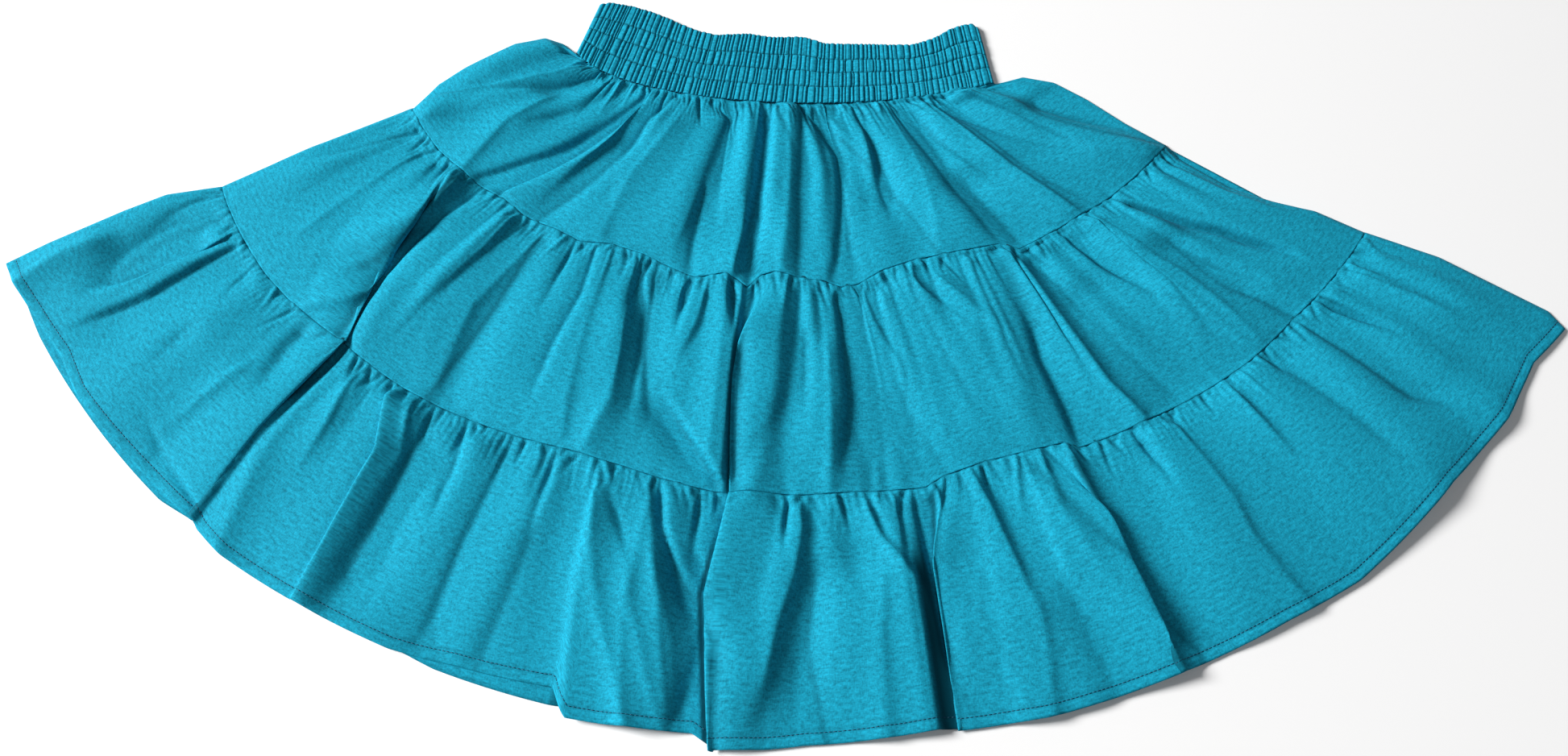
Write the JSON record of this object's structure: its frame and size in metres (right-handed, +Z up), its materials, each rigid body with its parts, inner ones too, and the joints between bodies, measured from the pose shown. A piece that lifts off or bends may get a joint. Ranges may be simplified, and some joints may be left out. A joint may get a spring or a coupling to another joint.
{
  "type": "square dance skirt",
  "caption": "Full tiered skirt in teal cloth with a ribbed elastic waistband and gathered seams, laid flat with its front folds and laps set.",
  "frame": {"origin": "on the surface the skirt lies on, under the middle of its bounding box", "axes": "+X across the skirt from its left side to its right side as seen from above with the waist away from the viewer, +Y from the hem to the waist, +Z up off the surface"},
  "size_m": [1.2106, 0.625, 0.0232],
  "materials": {
    "cloth": "matte plain weave with a fine heather"
  },
  "bodies": {
    "root": {"waistband_front": "cloth", "waistband_back": "cloth", "tier_1_front": "cloth", "tier_1_back": "cloth", "tier_2_front": "cloth", "tier_2_back": "cloth", "tier_3_front": "cloth", "tier_3_back": "cloth"}
  },
  "joints": []
}
